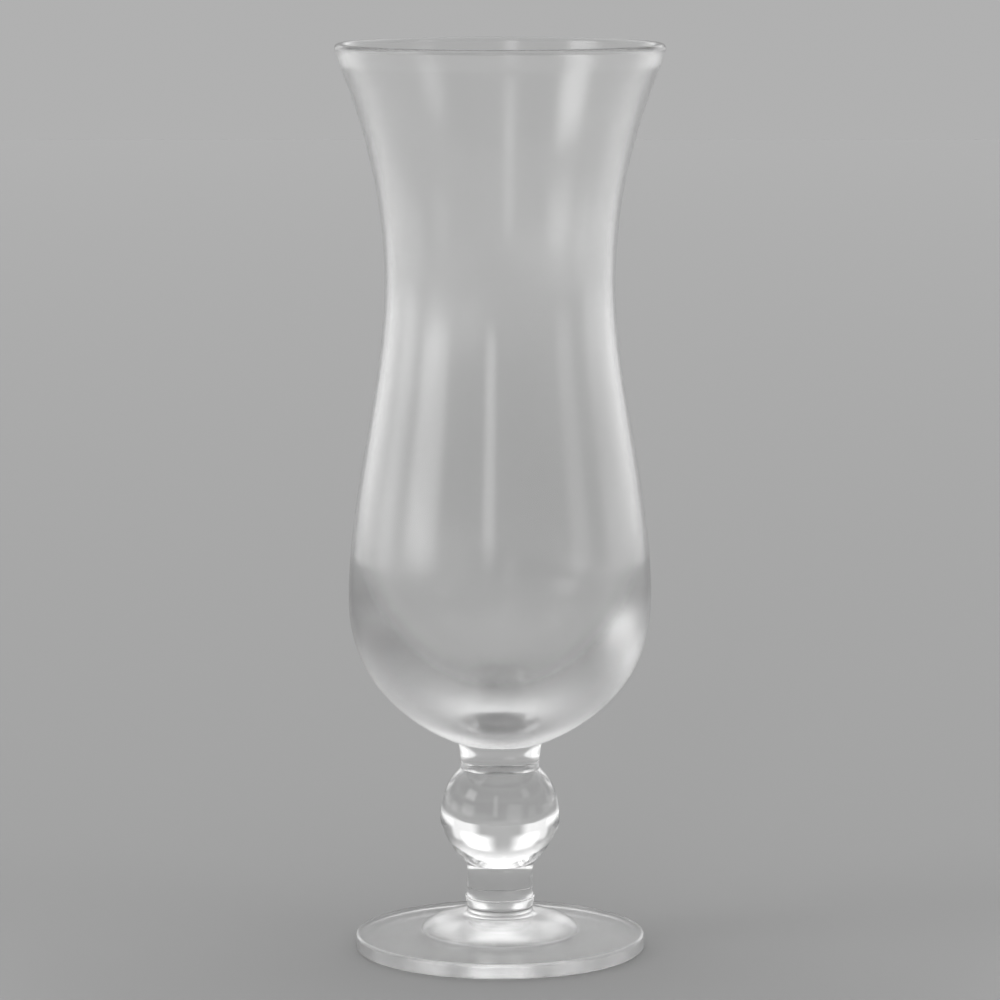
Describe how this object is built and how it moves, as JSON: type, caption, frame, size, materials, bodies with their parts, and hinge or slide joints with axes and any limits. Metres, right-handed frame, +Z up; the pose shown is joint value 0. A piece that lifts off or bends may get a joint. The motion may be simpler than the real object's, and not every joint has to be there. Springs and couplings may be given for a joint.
{
  "type": "hurricane glass",
  "caption": "Tall clear hurricane cocktail glass: a flared, waisted bowl on a short stem with a rounded knop, thin merese rings and a flat domed foot.",
  "frame": {"origin": "centre of the foot's underside, on the surface that the glass stands on", "axes": "+Z up along the glass's axis to the rim; -Y faces the picture's camera, +X is the picture's right"},
  "size_m": [0.0742, 0.0742, 0.206],
  "materials": {
    "clear_glass": "clear, fire polished"
  },
  "bodies": {
    "root": {"foot": "clear_glass", "lower_merese": "clear_glass", "stem_neck": "clear_glass", "knop": "clear_glass", "upper_merese": "clear_glass", "bowl": "clear_glass"}
  },
  "joints": []
}
